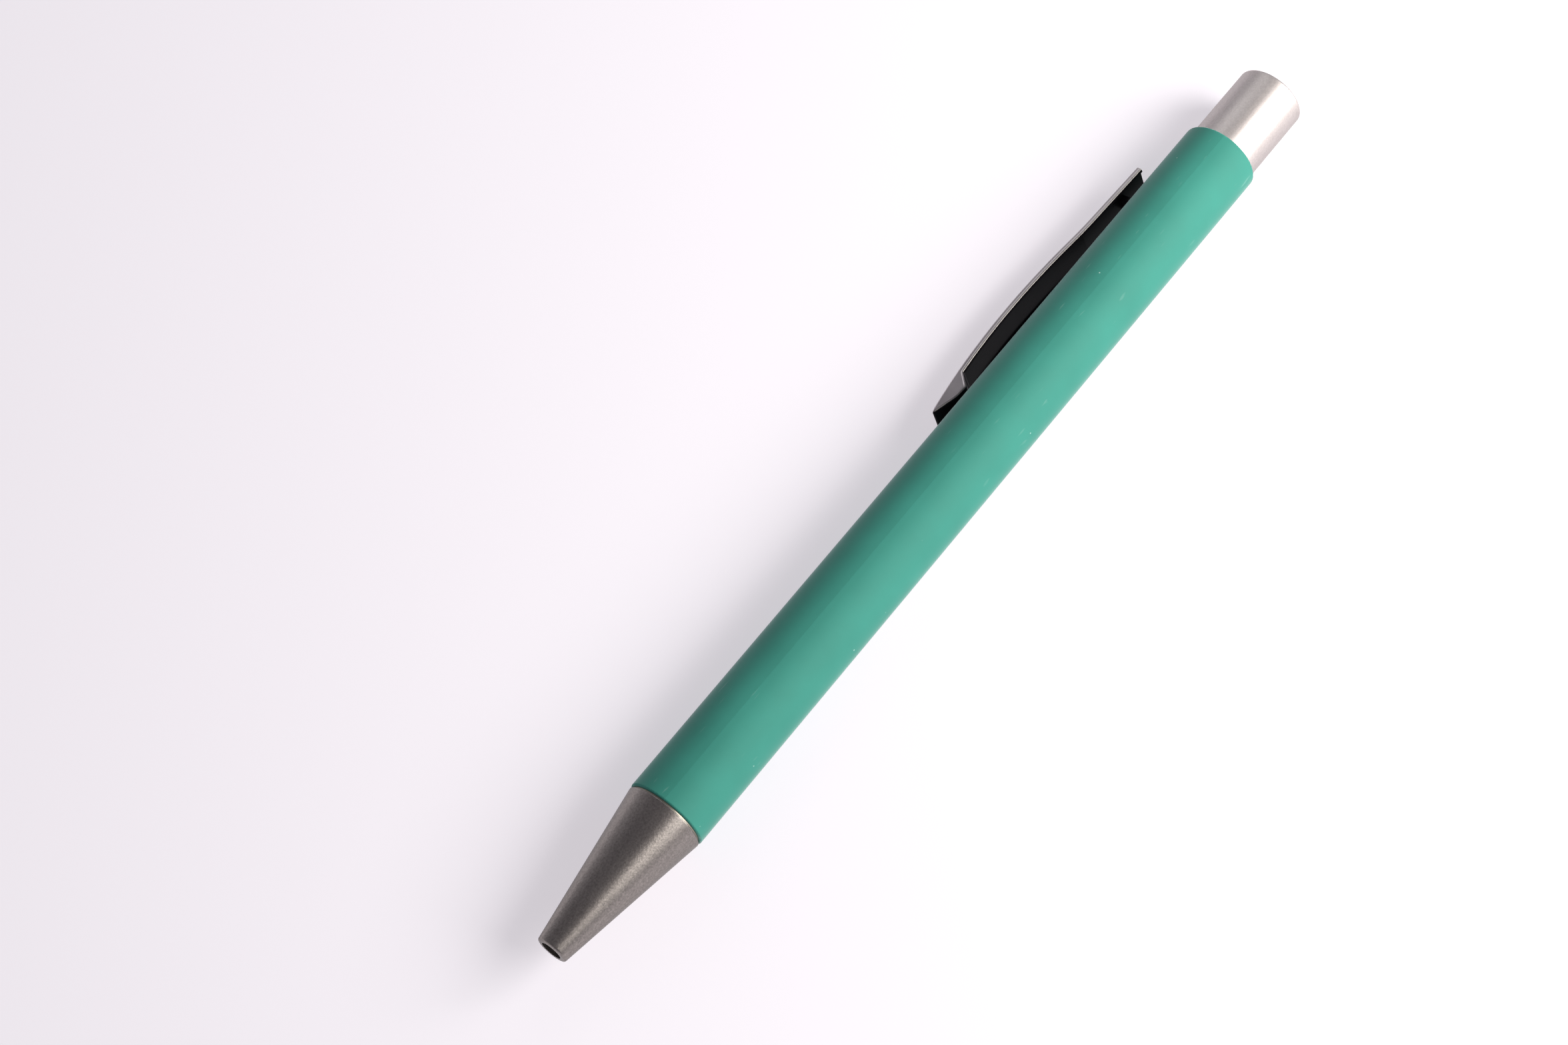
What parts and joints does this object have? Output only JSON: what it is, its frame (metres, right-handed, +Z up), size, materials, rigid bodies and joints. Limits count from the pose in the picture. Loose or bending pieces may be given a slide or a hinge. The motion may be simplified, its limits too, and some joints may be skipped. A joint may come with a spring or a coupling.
{
  "type": "retractable ballpoint pen",
  "caption": "Retractable ballpoint pen: metal barrel, screw-off nose cone, side clip, push button, click mechanism and refill.",
  "frame": {"origin": "under the middle of the pen, on the surface it lies on", "axes": "+X along the pen from the writing tip to the button, +Z up, +Y towards the side the clip lies on"},
  "size_m": [0.1416, 0.0136, 0.0102],
  "materials": {
    "nose_metal": "satin gunmetal",
    "bush_metal": "machined, plated",
    "barrel_coating": "matte soft-touch green coating",
    "ball_metal": "polished",
    "point_metal": "machined nickel silver",
    "holder_brass": "machined",
    "refill_metal": "drawn tube",
    "ink": "thick blue-black paste",
    "plug_plastic": "moulded",
    "spring_steel": "drawn wire",
    "rotor_plastic": "moulded",
    "cam_plastic": "moulded",
    "sleeve_plastic": "moulded",
    "button_metal": "satin gunmetal silver",
    "clip_metal": "polished gunmetal plating"
  },
  "bodies": {
    "barrel": {"barrel_tube": "barrel_coating", "front_bush": "bush_metal", "cam_sleeve": "sleeve_plastic", "rear_bush": "sleeve_plastic"},
    "front_spring": {"return_spring": "spring_steel"},
    "nose": {"nose_cone": "nose_metal"},
    "button": {"button_cap": "button_metal", "thrust_cam": "cam_plastic"},
    "refill": {"writing_tip": "point_metal", "tip_holder": "holder_brass", "refill_tube": "refill_metal", "ink_column": "ink", "refill_plug": "plug_plastic", "rotor": "rotor_plastic"},
    "ball": {"writing_ball": "ball_metal"},
    "clip": {"clip": "clip_metal"}
  },
  "joints": [
    {"name": "button_press", "type": "slide", "parent": "barrel", "child": "button", "axis": [-1, 0, 0], "range_m": [0, 0.0055], "stiffness_N_per_m": 300, "springref_m": -0.006, "deforming": ["return_spring"]},
    {"name": "refill_advance", "type": "slide", "parent": "barrel", "child": "refill", "axis": [-1, 0, 0], "range_m": [0, 0.0055]},
    {"name": "clip_flex", "type": "hinge", "parent": "barrel", "child": "clip", "pos_m": [0.04804, 0.00224, 0.00362], "axis": [0, -0.353, -0.9356], "range_deg": [0, 3.5], "stiffness_Nm_per_rad": 1.5},
    {"name": "cone_advance", "type": "slide", "parent": "barrel", "child": "front_spring", "axis": [-1, 0, 0], "range_m": [0, 0.00375]},
    {"name": "cone_turn", "type": "hinge", "parent": "front_spring", "child": "nose", "pos_m": [-0.05076, -0.00169, 0.0051], "axis": [-1, 0, 0], "range_deg": [0, 1800]},
    {"name": "ball_roll", "type": "hinge", "parent": "refill", "child": "ball", "pos_m": [-0.06925, -0.00169, 0.0051], "axis": [0, 1, 0], "continuous": true}
  ],
  "couplings": [
    {"joint": "refill_advance", "follows": "button_press", "ratio": 1},
    {"joint": "cone_advance", "follows": "cone_turn", "m_per_rad": 0.00011937}
  ]
}
